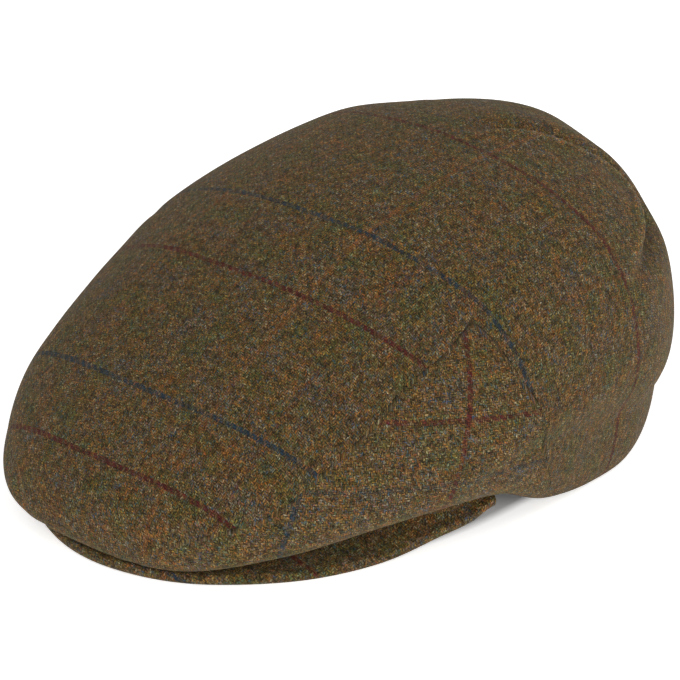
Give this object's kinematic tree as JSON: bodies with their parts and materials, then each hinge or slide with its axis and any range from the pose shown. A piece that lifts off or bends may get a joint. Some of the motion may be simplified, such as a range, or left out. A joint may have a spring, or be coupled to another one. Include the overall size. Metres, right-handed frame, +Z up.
{
  "type": "flat cap",
  "caption": "One-piece-top flat cap in checked tweed with cloth side panels, a stiff cloth-covered peak and an open hollow for the head.",
  "frame": {"origin": "middle of the cap's bounding box, at the level it rests on", "axes": "+Z up as the cap lies on its rim, -Y towards the edge of the peak, +X towards the wearer's left"},
  "size_m": [0.198, 0.2628, 0.1111],
  "materials": {
    "crown_cloth": "napped wool twill with a maroon, blue and rust overcheck",
    "side_cloth": "napped wool twill with a maroon, blue and rust overcheck",
    "peak_cloth": "napped wool twill over a stiff board",
    "facing_cloth": "napped wool twill turned under"
  },
  "bodies": {
    "root": {"top_panel": "crown_cloth", "side_panel_left": "side_cloth", "side_panel_right": "side_cloth", "peak": "peak_cloth", "lip_facing": "facing_cloth"}
  },
  "joints": []
}
